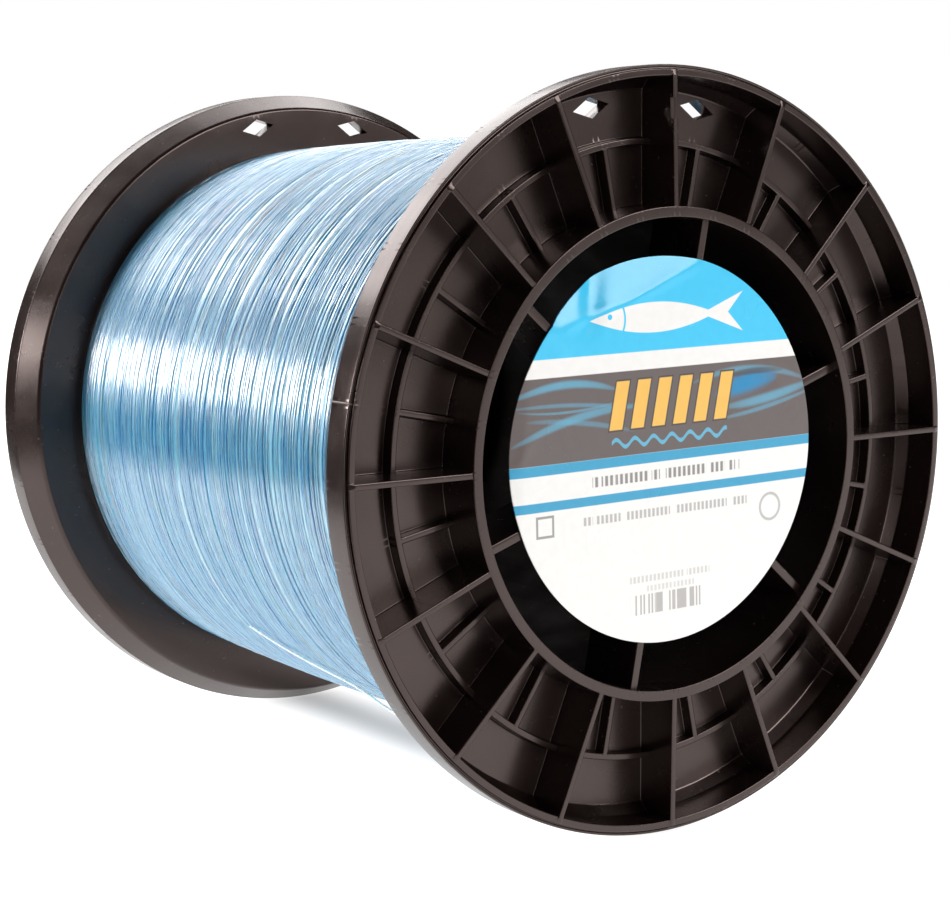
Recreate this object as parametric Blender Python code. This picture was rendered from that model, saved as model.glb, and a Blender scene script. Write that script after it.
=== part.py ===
"""Bulk fishing line spool: two ribbed flange mouldings on a barrel, wound full of monofilament.

The spool's axis runs along Y, its labelled front faces -Y, and it stands on its two rims.  The
origin is on the ground, below the middle of the spool.  The model is in metres; the named sizes
are in millimetres.  Depths are measured inwards from the plane of a rim's outer edge, angles
from +X towards +Z, as seen from the front.
"""
import math

import bmesh
import bpy
from mathutils import Vector

MM = 0.001
GAP = 0.3                     # clearance between pieces that touch
EMBED = 0.4                   # how far ribs run into the walls that they join
CUTTER_MARGIN = 1.0           # how far cutters run past the faces that they cut
SHARP_ANGLE = math.radians(30)

# Whole spool
FLANGE_RADIUS = 92.5
WIDTH = 182.7                 # between the planes of the two rims' outer edges
SEGMENTS = 72                 # facets round the axis, one of them flat on the ground
HALF_STEP = math.pi / SEGMENTS
AXIS_HEIGHT = FLANGE_RADIUS * math.cos(HALF_STEP)

# Rim and web of a flange
RIM_DEPTH = 7.1
RIM_INNER_RADIUS = 89.7
RIM_INNER_DEPTH = 7.6
LIP_RADIUS = 91.4
LIP_PROUD = 0.67
WEB_OUTER_DEPTH = 10.2        # floor of the pockets between the ribs
WEB_INNER_DEPTH = 14.5        # face that the line is wound against
WEB_OUTER_START = 87.1        # where the cone from the rim meets the pocket floor
WEB_INNER_START = 88.2        # where it meets the line side of the web

# Hub ring, and the spigot behind it that carries the barrel
HUB_OUTER_RADIUS = 59.4
HUB_INNER_RADIUS = 56.8
HUB_PROUD = 1.87
SPIGOT_LENGTH = 12.0

# Ribs
RIB_COUNT = 16
RIB_THICKNESS = 1.5
RIB_PROUD_AT_RIM = 1.05
RIB_PROUD_AT_HUB = 1.62
NOTCH_START = 79.8            # radii between which the top rib is cut lower
NOTCH_END = 84.7
NOTCH_DEPTH = 1.1
ARC_RIB_INNER_RADIUS = 74.0
ARC_RIB_OUTER_RADIUS = 75.6
ARC_RIB_DEPTH = 7.25
SHORT_RIB_STEP = 0.05         # the short ribs stop this much below the arc rib

# Spokes and arbor boss inside the hub ring
SPOKE_COUNT = 6
SPOKE_THICKNESS = 2.4
SPOKE_DEPTH = 0.6
SPOKE_LENGTH = 18.0
SPOKE_PHASE = math.radians(78.75)
BOSS_OUTER_RADIUS = 16.0
BORE_RADIUS = 12.5
BOSS_LENGTH = 30.0
BOSS_STEP = 0.1               # the boss stands this much below the spokes

# Diamond holes for the line's end, one on each side of the top rib
HOLE_RADIUS = 84.0
HOLE_HALF_WIDTH = 5.3
HOLE_HALF_HEIGHT = 2.5
HOLE_OFFSET = math.radians(11.25)

# Barrel, line and labels
BARREL_OUTER_RADIUS = 62.0
WINDING_FRONT_RADIUS = 75.2
WINDING_BACK_RADIUS = 76.0
WINDING_CROWN = 2.0           # how much the line bulges between the two flanges
WINDING_STATIONS = 9
LABEL_RADIUS = 46.4
LABEL_THICKNESS = 0.3
LABEL_SEGMENTS = 64
FRONT_LABEL_SHIFT = (-1.3, 1.2)
BACK_LABEL_SHIFT = (0.6, -0.4)

# Loose end of the line: its route as (angle in degrees, depth, height of its axis above the
# winding), from where it leaves the turns beside the front web to its cut end.
LINE_DIAMETER = 0.7
TAIL_ROUTE = [
    (-101.0, 17.0, 0.72),
    (-103.5, 22.0, 1.10),
    (-106.0, 27.5, 1.80),
    (-108.6, 33.0, 2.60),
    (-111.3, 38.6, 3.35),
    (-114.0, 44.2, 3.90),
    (-116.8, 50.0, 4.10),
    (-119.6, 56.0, 3.75),
    (-122.3, 62.0, 2.75),
    (-124.8, 67.4, 1.50),
    (-127.0, 72.3, 0.82),
    (-129.5, 78.0, 0.70),
    (-132.0, 84.0, 0.70),
    (-134.6, 90.2, 0.70),
    (-137.2, 96.0, 0.70),
    (-139.6, 101.2, 0.70),
]
TAIL_STEPS = 4                # straight pieces between two points of the route


def clear_scene():
    for old in list(bpy.data.objects):
        bpy.data.objects.remove(old, do_unlink=True)


def plastic(name, colour, roughness):
    """Principled material of one plain colour."""
    material = bpy.data.materials.new(name)
    material.use_nodes = True
    shader = material.node_tree.nodes["Principled BSDF"]
    shader.inputs["Base Color"].default_value = (*colour, 1.0)
    shader.inputs["Roughness"].default_value = roughness
    shader.inputs["Metallic"].default_value = 0.0
    return material


def spot(radius, angle, depth):
    """Point at a radius and an angle round the spool's axis, at a depth behind the front rim."""
    return Vector((radius * math.cos(angle), depth - WIDTH / 2, radius * math.sin(angle))) * MM


def bridge(bm, loops):
    """Close a chain of equal loops, each joined to the next and the last to the first."""
    for loop, following in zip(loops, loops[1:] + loops[:1]):
        for i in range(len(loop)):
            j = (i + 1) % len(loop)
            bm.faces.new((loop[i], loop[j], following[j], following[i]))


def add_ring(bm, profile):
    """Turn a closed profile of (radius, depth) points round the spool's axis."""
    loops = []
    for i in range(SEGMENTS):
        angle = (2 * i + 1) * HALF_STEP
        loops.append([bm.verts.new(spot(radius, angle, depth)) for radius, depth in profile])
    bridge(bm, loops)


def add_plate(bm, outline, angle, thickness):
    """Plate that stands along a radius: an outline of (radius, depth) points, made thick."""
    along = Vector((-math.sin(angle), 0.0, math.cos(angle))) * (thickness / 2 * MM)
    sides = []
    for offset in (-along, along):
        sides.append([bm.verts.new(spot(radius, angle, depth) + offset) for radius, depth in outline])
    bm.faces.new(sides[0])
    bm.faces.new(list(reversed(sides[1])))
    for i in range(len(outline)):
        j = (i + 1) % len(outline)
        bm.faces.new((sides[0][j], sides[0][i], sides[1][i], sides[1][j]))


def add_prism(bm, corners, near, far):
    """Prism along the spool's axis through (x, z) corners, between two depths."""
    ends = []
    for depth in (near, far):
        y = depth - WIDTH / 2
        ends.append([bm.verts.new(Vector((x, y, z)) * MM) for x, z in corners])
    bm.faces.new(ends[0])
    bm.faces.new(list(reversed(ends[1])))
    for i in range(len(corners)):
        j = (i + 1) % len(corners)
        bm.faces.new((ends[0][j], ends[0][i], ends[1][i], ends[1][j]))


def mesh_from(bm, name):
    """Finish a bmesh with its faces pointing out and return it as a mesh."""
    bmesh.ops.recalc_face_normals(bm, faces=bm.faces)
    mesh = bpy.data.meshes.new(name)
    bm.to_mesh(mesh)
    bm.free()
    return mesh


def place(name, mesh, material=None):
    """Put a mesh on the spool's axis as a named object, shaded smooth but for sharp edges."""
    piece = bpy.data.objects.new(name, mesh)
    piece.location = (0.0, 0.0, AXIS_HEIGHT * MM)
    bpy.context.scene.collection.objects.link(piece)
    if material:
        mesh.materials.clear()
        mesh.materials.append(material)
        mesh.shade_smooth()
        mesh.set_sharp_from_angle(angle=SHARP_ANGLE)
    return piece


def tool(name, bm):
    """Object that only adds to or cuts another one."""
    piece = place(name, mesh_from(bm, name))
    piece.hide_render = True
    piece.display_type = "WIRE"
    return piece


def combine(target, other, operation):
    modifier = target.modifiers.new(other.name, "BOOLEAN")
    modifier.operation = operation
    modifier.object = other


def flange_shell():
    """Rim, cone, web, hub ring and spigot, turned in one piece."""
    spigot_depth = WEB_INNER_DEPTH + SPIGOT_LENGTH
    profile = [
        (FLANGE_RADIUS, 0.0),
        (FLANGE_RADIUS, RIM_DEPTH),
        (WEB_INNER_START, WEB_INNER_DEPTH),
        (HUB_OUTER_RADIUS, WEB_INNER_DEPTH),
        (HUB_OUTER_RADIUS, spigot_depth),
        (HUB_INNER_RADIUS, spigot_depth),
        (HUB_INNER_RADIUS, -HUB_PROUD),
        (HUB_OUTER_RADIUS, -HUB_PROUD),
        (HUB_OUTER_RADIUS, WEB_OUTER_DEPTH),
        (WEB_OUTER_START, WEB_OUTER_DEPTH),
        (RIM_INNER_RADIUS, RIM_INNER_DEPTH),
        (RIM_INNER_RADIUS, -LIP_PROUD),
        (LIP_RADIUS, -LIP_PROUD),
        (LIP_RADIUS, 0.0),
    ]
    bm = bmesh.new()
    add_ring(bm, profile)
    return place("flange", mesh_from(bm, "flange"))


def rib_top(radius):
    """Depth of a radial rib's edge, which slopes up from the rim to the hub ring."""
    share = (radius - HUB_OUTER_RADIUS) / (RIM_INNER_RADIUS - HUB_OUTER_RADIUS)
    return -RIB_PROUD_AT_HUB - share * (RIB_PROUD_AT_RIM - RIB_PROUD_AT_HUB)


def radial_ribs():
    """Ribs from the hub ring to the rim; the top one has a shallow notch between the holes."""
    inner = HUB_OUTER_RADIUS - EMBED
    outer = RIM_INNER_RADIUS + EMBED
    root = WEB_OUTER_DEPTH + EMBED
    plain = [(inner, root), (inner, rib_top(inner)), (outer, rib_top(outer)), (outer, root)]
    notch = [
        (NOTCH_START, rib_top(NOTCH_START)),
        (NOTCH_START, rib_top(NOTCH_START) + NOTCH_DEPTH),
        (NOTCH_END, rib_top(NOTCH_END) + NOTCH_DEPTH),
        (NOTCH_END, rib_top(NOTCH_END)),
    ]
    bm = bmesh.new()
    for i in range(RIB_COUNT):
        angle = math.pi / 2 + i * 2 * math.pi / RIB_COUNT
        outline = plain[:2] + notch + plain[2:] if i == 0 else plain
        add_plate(bm, outline, angle, RIB_THICKNESS)
    return tool("radial_ribs", bm)


def arc_rib():
    """Low rib that runs round the web through all the pockets."""
    root = WEB_OUTER_DEPTH + EMBED
    bm = bmesh.new()
    add_ring(bm, [
        (ARC_RIB_OUTER_RADIUS, ARC_RIB_DEPTH),
        (ARC_RIB_OUTER_RADIUS, root),
        (ARC_RIB_INNER_RADIUS, root),
        (ARC_RIB_INNER_RADIUS, ARC_RIB_DEPTH),
    ])
    return tool("arc_rib", bm)


def short_ribs():
    """Low ribs from the hub ring to the arc rib, one in the middle of each pocket."""
    inner = HUB_OUTER_RADIUS - EMBED
    outer = ARC_RIB_INNER_RADIUS + EMBED
    top = ARC_RIB_DEPTH + SHORT_RIB_STEP
    root = WEB_OUTER_DEPTH + EMBED
    outline = [(inner, root), (inner, top), (outer, top), (outer, root)]
    bm = bmesh.new()
    for i in range(RIB_COUNT):
        add_plate(bm, outline, math.pi / 2 + (2 * i + 1) * math.pi / RIB_COUNT, RIB_THICKNESS)
    return tool("short_ribs", bm)


def spokes():
    """Plates from the arbor boss to the inside of the hub ring."""
    inner = (BORE_RADIUS + BOSS_OUTER_RADIUS) / 2
    outer = HUB_INNER_RADIUS + EMBED
    end = SPOKE_DEPTH + SPOKE_LENGTH
    outline = [(inner, end), (inner, SPOKE_DEPTH), (outer, SPOKE_DEPTH), (outer, end)]
    bm = bmesh.new()
    for i in range(SPOKE_COUNT):
        add_plate(bm, outline, SPOKE_PHASE + i * 2 * math.pi / SPOKE_COUNT, SPOKE_THICKNESS)
    return tool("spokes", bm)


def arbor_boss():
    """Short tube round the spindle's bore."""
    near = SPOKE_DEPTH + BOSS_STEP
    far = near + BOSS_LENGTH
    bm = bmesh.new()
    add_ring(bm, [
        (BOSS_OUTER_RADIUS, near),
        (BOSS_OUTER_RADIUS, far),
        (BORE_RADIUS, far),
        (BORE_RADIUS, near),
    ])
    return tool("arbor_boss", bm)


def line_holes():
    """Diamond cutters through the web."""
    bm = bmesh.new()
    for side in (-1, 1):
        angle = math.pi / 2 + side * HOLE_OFFSET
        out = Vector((math.cos(angle), math.sin(angle)))
        along = Vector((-out.y, out.x))
        centre = out * HOLE_RADIUS
        corners = [
            centre + along * HOLE_HALF_WIDTH,
            centre + out * HOLE_HALF_HEIGHT,
            centre - along * HOLE_HALF_WIDTH,
            centre - out * HOLE_HALF_HEIGHT,
        ]
        add_prism(bm, corners, WEB_OUTER_DEPTH - CUTTER_MARGIN, WEB_INNER_DEPTH + CUTTER_MARGIN)
    return tool("line_holes", bm)


def flanges(material):
    """Two equal mouldings, the back one turned round to face the other way."""
    shell = flange_shell()
    for extra in (radial_ribs(), arc_rib(), short_ribs(), arbor_boss(), spokes()):
        combine(shell, extra, "UNION")
    combine(shell, line_holes(), "DIFFERENCE")
    evaluated = shell.evaluated_get(bpy.context.evaluated_depsgraph_get())
    mesh = bpy.data.meshes.new_from_object(evaluated)
    bpy.data.objects.remove(shell, do_unlink=True)
    place("front_flange", mesh, material)
    back = place("back_flange", mesh, material)
    back.rotation_euler.z = math.pi


def barrel(material):
    """Plain tube on the two spigots, between the webs."""
    near = WEB_INNER_DEPTH + GAP
    far = WIDTH - near
    inner = HUB_OUTER_RADIUS + GAP
    bm = bmesh.new()
    add_ring(bm, [
        (BARREL_OUTER_RADIUS, near),
        (BARREL_OUTER_RADIUS, far),
        (inner, far),
        (inner, near),
    ])
    place("barrel", mesh_from(bm, "barrel"), material)


def winding_radius(depth):
    """Outer radius of the wound line, a little fuller in the middle and at the back."""
    near = WEB_INNER_DEPTH + GAP
    share = (depth - near) / (WIDTH - 2 * near)
    taper = share * (WINDING_BACK_RADIUS - WINDING_FRONT_RADIUS)
    return WINDING_FRONT_RADIUS + taper + WINDING_CROWN * math.sin(math.pi * share)


def line_winding(material):
    """All the turns of line as one body round the barrel."""
    near = WEB_INNER_DEPTH + GAP
    far = WIDTH - near
    inner = BARREL_OUTER_RADIUS + GAP
    depths = [near + (far - near) * i / (WINDING_STATIONS - 1) for i in range(WINDING_STATIONS)]
    profile = [(winding_radius(depth), depth) for depth in depths] + [(inner, far), (inner, near)]
    bm = bmesh.new()
    add_ring(bm, profile)
    place("line_winding", mesh_from(bm, "line_winding"), material)


def label(name, shift, turned, material):
    """Round label on the spokes of one flange."""
    far = SPOKE_DEPTH - GAP
    corners = []
    for i in range(LABEL_SEGMENTS):
        angle = 2 * math.pi * i / LABEL_SEGMENTS
        x = shift[0] + LABEL_RADIUS * math.cos(angle)
        z = shift[1] + LABEL_RADIUS * math.sin(angle)
        corners.append((x, z))
    bm = bmesh.new()
    add_prism(bm, corners, far - LABEL_THICKNESS, far)
    piece = place(name, mesh_from(bm, name), material)
    piece.rotation_euler.z = math.pi if turned else 0.0


def smooth_route(points, steps):
    """Points read from a Catmull-Rom curve through the given ones."""
    ends = [2 * points[0] - points[1]] + points + [2 * points[-1] - points[-2]]
    route = []
    for before, start, stop, after in zip(ends, ends[1:], ends[2:], ends[3:]):
        for i in range(steps):
            t = i / steps
            bend = 2 * before - 5 * start + 4 * stop - after
            twist = 3 * start - before - 3 * stop + after
            route.append(0.5 * (2 * start + (stop - before) * t + bend * t ** 2 + twist * t ** 3))
    return route + [points[-1]]


def line_tail(material):
    """Loose end of the line, lying across the turns and cut off."""
    points = [
        spot(winding_radius(depth) + height, math.radians(angle), depth)
        for angle, depth, height in TAIL_ROUTE
    ]
    route = smooth_route(points, TAIL_STEPS)
    curve = bpy.data.curves.new("line_tail", "CURVE")
    curve.dimensions = "3D"
    curve.bevel_depth = LINE_DIAMETER / 2 * MM
    curve.bevel_resolution = 2
    curve.use_fill_caps = True
    spline = curve.splines.new("POLY")
    spline.points.add(len(route) - 1)
    for point, position in zip(spline.points, route):
        point.co = (*position, 1.0)
    curve.materials.append(material)
    piece = bpy.data.objects.new("line_tail", curve)
    piece.location = (0.0, 0.0, AXIS_HEIGHT * MM)
    bpy.context.scene.collection.objects.link(piece)


def main():
    clear_scene()
    black = plastic("spool_plastic", (0.035, 0.027, 0.025), 0.42)
    blue = plastic("blue_monofilament", (0.33, 0.62, 0.78), 0.25)
    paper = plastic("label_paper", (0.85, 0.87, 0.88), 0.40)
    flanges(black)
    barrel(black)
    line_winding(blue)
    line_tail(blue)
    label("front_label", FRONT_LABEL_SHIFT, False, paper)
    label("back_label", BACK_LABEL_SHIFT, True, paper)


main()
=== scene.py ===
"""Looks of the bulk fishing line spool: ribbed flanges, wound monofilament and printed labels.

The frame is the part's own: the spool's axis runs along Y, its labelled front faces -Y, and it
stands on its two rims.  Sizes of the spool are in millimetres and are turned into metres where a
mesh or an object is made; lights, floor and camera are in metres.  Depths are measured inwards
from the plane of a rim's outer edge, angles from +X towards +Z, as seen from the front.
"""
import math

import bmesh
import bpy
import numpy as np
from mathutils import Matrix, Vector


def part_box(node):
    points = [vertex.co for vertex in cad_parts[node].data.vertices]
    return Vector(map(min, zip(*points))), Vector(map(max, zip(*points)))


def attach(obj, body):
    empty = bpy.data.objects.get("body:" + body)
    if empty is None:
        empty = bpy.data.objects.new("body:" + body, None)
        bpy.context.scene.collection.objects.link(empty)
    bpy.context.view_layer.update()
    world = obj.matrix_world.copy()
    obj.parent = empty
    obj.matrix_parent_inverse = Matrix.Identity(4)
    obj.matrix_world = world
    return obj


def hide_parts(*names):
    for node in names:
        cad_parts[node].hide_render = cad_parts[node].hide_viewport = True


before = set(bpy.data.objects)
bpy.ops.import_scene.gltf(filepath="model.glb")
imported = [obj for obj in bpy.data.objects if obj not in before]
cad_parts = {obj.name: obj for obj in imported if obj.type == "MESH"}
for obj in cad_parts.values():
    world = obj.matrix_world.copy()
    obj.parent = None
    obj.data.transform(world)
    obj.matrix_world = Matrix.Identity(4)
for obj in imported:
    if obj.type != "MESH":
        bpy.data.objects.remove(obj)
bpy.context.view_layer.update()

MM = 0.001

# Whole spool, measured on the front flange
RIM_LOW, RIM_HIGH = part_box("front_flange")
AXIS_HEIGHT = (RIM_LOW.z + RIM_HIGH.z) / 2 / MM
RIM_RADIUS = (RIM_HIGH.z - RIM_LOW.z) / 2 / MM
HUB_PROUD = 1.87              # how far the hub ring stands out past the rim
WIDTH = -2 * RIM_LOW.y / MM - 2 * HUB_PROUD

# Rim, web and hub ring of a flange
RIM_DEPTH = 7.1
RIM_INNER_RADIUS = 89.7
LIP_RADIUS = 91.4
LIP_PROUD = 0.67
FLOOR_DEPTH = 10.2            # floor of the pockets between the ribs
CONE_START = 87.1             # where the cone from the rim meets the pocket floor
WEB_LINE_DEPTH = 14.5         # face that the line is wound against
WEB_LINE_START = 88.2
HUB_OUTER_RADIUS = 59.4
HUB_INNER_RADIUS = 56.8
SPIGOT_LENGTH = 12.0
EDGE = 0.25                   # size of a rounded edge
EDGE_MIDDLE = 0.07            # how far its middle lies in from each side
FLANGE_SHARP = 50.0           # degrees from which an edge stays sharp in shading

# Ribs
RIB_COUNT = 16
RIB_HALF = 0.75
RIB_PROUD_AT_RIM = 1.05
RIB_PROUD_AT_HUB = 1.62
NOTCH = (79.8, 84.7)          # radii between which the top rib is cut lower
NOTCH_DEPTH = 1.1
NOTCH_STEP = 0.04
ARC_RIB = (74.0, 75.6)
ARC_RIB_DEPTH = 7.25
SHORT_RIB_DEPTH = 7.3

# A wall's section: distances out from the wall's edge, with the drops below its top at the first
# three and the rises above the floor at the others
WALL_STEPS = (-0.30, -0.10, 0.0, 0.11, 0.19, 0.36)
TOP_DROPS = (0.0, EDGE_MIDDLE, EDGE)
FOOT_RISES = (0.26, 0.08, 0.0)

# The ribbed face's grid: rings between the walls, and lines across half a pocket
POCKET_RINGS = (62.0, 65.0, 68.0, 71.0, 78.0, 86.0)
POCKET_LINES = 5
CONE_EASE = 0.25              # rings this far to each side of the cone's foot

# Spokes, boss and line holes
SPOKE_COUNT = 6
SPOKE_HALF = 1.2
SPOKE_DEPTH = 0.6
SPOKE_LENGTH = 18.0
SPOKE_PHASE = math.radians(78.75)
SPOKE_CHAMFER = 0.3
SPOKE_EMBED = 0.4             # how far a spoke runs into the hub ring
BOSS_RADIUS = 16.0
BORE_RADIUS = 12.5
BOSS_LENGTH = 30.0
BOSS_STEP = 0.1               # the boss stands this much below the spokes
BOSS_SIDES = 72
HOLE_RADIUS = 84.0
HOLE_HALF_WIDTH = 5.3
HOLE_HALF_HEIGHT = 2.5
HOLE_OFFSET = math.radians(11.25)
HOLE_FLARE = 1.12             # how many times wider a hole is at the ribbed face
HOLE_FLARE_DEPTH = 0.25
CUTTER_MARGIN = 1.0

# Wound line
LINE_DIAMETER = 0.7
WEB_GAP = 0.3
BARREL_RADIUS = 62.3
WINDING_FRONT = 75.2
WINDING_BACK = 76.0
WINDING_CROWN = 2.0
CORE_SINK = 0.58              # of a line's diameter, below the outermost turns
CORE_STATIONS = 60
CORE_SIDES = 240
CORE_SHARP = 40.0
STRAND_STEPS = 72             # for each turn
STRAND_SIDES = 6

# Strand layers, from the lowest up: (seed, hand, pitch, how far it lies below the outermost turns)
STRAND_LAYERS = (
    (11, 1, 1.30, 0.34),
    (12, -1, 1.25, 0.24),
    (13, 1, 1.40, 0.12),
    (14, -1, 1.70, 0.0),
)
# A strand's wander along and off the winding: waves as (number in each turn, share)
DEPTH_WAVES = ((0.137, 1.0), (0.61, 0.7), (1.31, 0.6), (2.83, 0.5), (6.1, 0.25))
DEPTH_WANDER = 0.36           # of the pitch
HEIGHT_WAVES = ((0.83, 1.0), (2.17, 0.7), (5.3, 0.4))
HEIGHT_WANDER = 0.06

# Labels
LABEL_RADIUS = 46.4
LABEL_THICKNESS = 0.3
LABEL_CENTRE = 0.6            # radius of the small flat in the middle
LABEL_RINGS = 60
LABEL_COLUMNS = 192
LABEL_SHARP = 60.0
FRONT_LABEL_SHIFT = (-1.3, 1.2)
BACK_LABEL_SHIFT = (0.6, -0.4)

# Folds of a label, in millimetres from its middle: (start, stop, width, height)
LABEL_FOLDS = (
    ((-14, 35), (13, 45.5), 0.9, 0.40),
    ((-25, 28), (-16, 48), 2.6, -1.1),
    ((-36, 29), (-10, 37), 1.0, 0.16),
    ((-36, 35), (-29, 25), 1.1, 0.26),
    ((-30, 38), (-33, 27), 0.9, -0.18),
    ((-25, 31), (-19, 41), 0.8, 0.14),
    ((-46, -2), (-38, 9), 1.2, 0.12),
    ((30, 20), (45, 14), 2.0, 0.10),
    ((26, 12), (40, 18), 1.6, -0.08),
)
# The free edge sags beyond the creases through these three points
SAG_LEFT = (-34.0, 31.5)
SAG_MIDDLE = (-12.0, 36.0)
SAG_RIGHT = (10.0, 45.0)
SAG_SLOPE = 0.42
SAG_ROUNDING = 0.3
# and a little beyond a crease at the left, whose softness is a squared length
CREASE_START = (-42.5, 1.0)
CREASE_STOP = (-40.5, 21.0)
CREASE_SLOPE = 0.16
CREASE_SOFTNESS = 0.3
# Slight ripple of the paper: its height, and the rate and phase across and up
RIPPLE_HEIGHT = 0.05
RIPPLE_ACROSS = (0.11, 0.7)
RIPPLE_UP = (0.09, -0.4)
PRINT_TILT = math.radians(-1.0)

# Loose end of the line: (angle in degrees, depth, height of its axis above the winding)
TAIL_ROUTE = [
    (-101.0, 17.0, 0.72),
    (-103.5, 22.0, 1.10),
    (-106.0, 27.5, 1.80),
    (-108.6, 33.0, 2.60),
    (-111.3, 38.6, 3.35),
    (-114.0, 44.2, 3.90),
    (-116.8, 50.0, 4.10),
    (-119.6, 56.0, 3.75),
    (-122.3, 62.0, 2.75),
    (-124.8, 67.4, 1.50),
    (-127.0, 72.3, 0.82),
    (-129.5, 78.0, 0.70),
    (-132.0, 84.0, 0.70),
    (-134.6, 90.2, 0.70),
    (-137.2, 96.0, 0.70),
    (-139.6, 101.2, 0.70),
]
TAIL_STEPS = 8                # straight pieces between two points of the route
TAIL_BEVEL_STEPS = 3

# Lights: radiance, place and size of each softbox; bearings are degrees from +X towards +Y
OVERHEAD_RADIANCE = 3.7
OVERHEAD_PLACE = Vector((0.0, 1.15, 0.95))
OVERHEAD_SIZE = (1.8, 1.5)
FRONT_RADIANCE = 6.9
FRONT_PLACE = Vector((0.55, -1.12, 0.83))
FRONT_SIZE = (0.9, 0.7)
FILL_RADIANCE = 0.6
FILL_PLACE = Vector((0.92, -1.30, 0.15))
FILL_SIZE = (1.4, 0.6)
# Low panels at the left: (bearing, radiance)
STRIP_PANELS = ((153.0, 38.0), (246.0, 3.8))
STRIP_RISE = math.radians(12.9)
STRIP_REACH = 1.3             # how far off the panels and the wall stand
STRIP_SIZE = (0.44, 0.28)
# High panel behind them
WALL_RADIANCE = 1.6
WALL_BEARING = 128.0
WALL_RISE = math.radians(32.0)
WALL_SIZE = (1.6, 0.60)
ROOM_COLOUR = (0.070, 0.052, 0.048, 1.0)

# The floor ends in an arc round the left and goes on to the right and the back.  It gives off
# light, less so right under the spool, where the weaker glow is a painted shadow.
FLOOR_ARC_MIDDLE = (-0.08, 0.0)
FLOOR_ARC_RADIUS = 0.34
FLOOR_ARC = (110.0, 250.0)
FLOOR_ARC_POINTS = 15
FLOOR_CORNERS = ((0.20, -0.72), (0.45, -1.5), (2.2, -1.5), (2.2, 3.0), (-0.1, 3.0))
FLOOR_GLOW = 1.12
# Glow right under the spool, lower than the rest: a painted shadow
FLOOR_GLOW_PAINTED_SHADOW = 0.45
PAINTED_SHADOW_REACH = 0.02       # how far off the spool the full glow starts
PAINTED_SHADOW_HALF_LENGTH = 0.08            # half the length of the spool's shade on the floor

# Camera
CAMERA_PLACE = Vector((-0.32879, -0.47594, 0.15485))
CAMERA_FORWARD = Vector((0.57208, 0.81140, -0.11982))
CAMERA_UP = Vector((0.07552, 0.09335, 0.99276))
CAMERA_LENS = 80.26
CAMERA_SENSOR = 36.0
CAMERA_CLIP = 0.01


def spot(radius, angle, depth):
    """Point of the frame at a radius and an angle round the axis, at a depth from the front."""
    height = AXIS_HEIGHT + radius * math.sin(angle)
    return Vector((radius * math.cos(angle), depth - WIDTH / 2, height)) * MM


def winding_radius(depth):
    """Outer radius of the wound line at a depth."""
    near = WEB_LINE_DEPTH + WEB_GAP
    share = (depth - near) / (WIDTH - 2 * near)
    taper = share * (WINDING_BACK - WINDING_FRONT)
    return WINDING_FRONT + taper + WINDING_CROWN * np.sin(np.pi * share)


# ---------------------------------------------------------------- meshes

def mesh_object(name, vertices, faces):
    """Object from vertices and faces, its faces turned outwards."""
    mesh = bpy.data.meshes.new(name)
    mesh.from_pydata([tuple(v) for v in vertices], [], [tuple(f) for f in faces])
    bm = bmesh.new()
    bm.from_mesh(mesh)
    bmesh.ops.recalc_face_normals(bm, faces=bm.faces)
    bm.to_mesh(mesh)
    bm.free()
    piece = bpy.data.objects.new(name, mesh)
    bpy.context.scene.collection.objects.link(piece)
    return piece


def loop_faces(rows, columns, closed_rows):
    """Quads of a grid whose columns close up, and whose rows close up too if asked."""
    row = np.arange(rows if closed_rows else rows - 1)
    column = np.arange(columns)
    r, c = np.meshgrid(row, column, indexing="ij")
    r2 = (r + 1) % rows
    c2 = (c + 1) % columns
    quads = np.stack([r * columns + c, r * columns + c2, r2 * columns + c2, r2 * columns + c], axis=-1)
    return quads.reshape(-1, 4).tolist()


def smooth(piece, degrees):
    """Shade a piece smooth, but for edges at least this sharp."""
    piece.data.shade_smooth()
    piece.data.set_sharp_from_angle(angle=math.radians(degrees))


def combine(target, other, operation):
    """Join a tool to a piece, or cut it out, when the piece's modifiers are applied."""
    modifier = target.modifiers.new(other.name, "BOOLEAN")
    modifier.operation = operation
    modifier.object = other
    other.hide_render = True
    other.display_type = "WIRE"


def apply_modifiers(piece):
    """Replace a piece's mesh by what its modifiers make of it, and drop their tools."""
    tools = [m.object for m in piece.modifiers if m.type == "BOOLEAN"]
    evaluated = piece.evaluated_get(bpy.context.evaluated_depsgraph_get())
    mesh = bpy.data.meshes.new_from_object(evaluated)
    piece.modifiers.clear()
    piece.data = mesh
    for tool in tools:
        bpy.data.objects.remove(tool, do_unlink=True)


def turned(name, profile, sides, height):
    """Closed ring turned from (radius, depth) points round an axis at a height."""
    angles = np.linspace(0.0, 2 * math.pi, sides, endpoint=False)
    points = []
    for radius, depth in profile:
        ring = np.stack([
            radius * np.cos(angles),
            np.full(sides, depth - WIDTH / 2),
            radius * np.sin(angles) + height,
        ], axis=1)
        points.append(ring * MM)
    faces = loop_faces(len(profile), sides, True)
    return mesh_object(name, np.concatenate(points), faces)


def extruded(name, shapes):
    """Bars extruded from closed outlines, each given as its points at the two ends."""
    vertices = []
    faces = []
    for first, second in shapes:
        base = len(vertices)
        count = len(first)
        vertices += [p * MM for p in first + second]
        faces.append(range(base, base + count))
        faces.append(range(base + count, base + 2 * count))
        for i in range(count):
            j = (i + 1) % count
            faces.append((base + i, base + j, base + count + j, base + count + i))
    return mesh_object(name, vertices, faces)


# ---------------------------------------------------------------- flanges

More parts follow.
